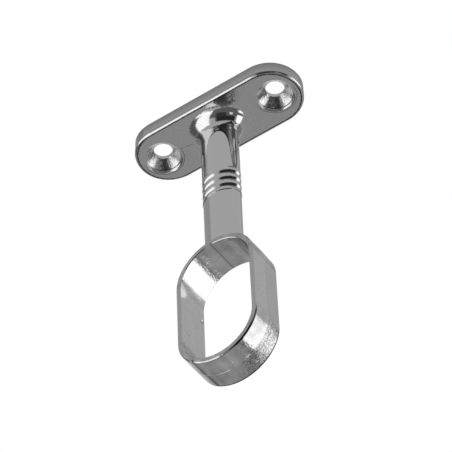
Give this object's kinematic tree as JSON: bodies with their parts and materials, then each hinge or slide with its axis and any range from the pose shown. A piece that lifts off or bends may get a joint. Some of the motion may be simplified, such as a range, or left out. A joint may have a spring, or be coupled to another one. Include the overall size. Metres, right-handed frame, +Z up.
{
  "type": "oval rail support bracket",
  "caption": "One-piece cast bracket that hangs an oval rail: a screw plate with countersunk holes, an oval beaded stem and a flat-oval ring that the rail slides through.",
  "frame": {"origin": "middle of the screw plate's mounting face", "axes": "+Z up into the surface the plate is screwed to, X along the plate from screw to screw, Y along the rail"},
  "size_m": [0.0392, 0.0142, 0.0738],
  "materials": {
    "bright_chrome": "bright chrome plate over a polished zinc die casting"
  },
  "bodies": {
    "root": {"bracket_casting": "bright_chrome"}
  },
  "joints": []
}
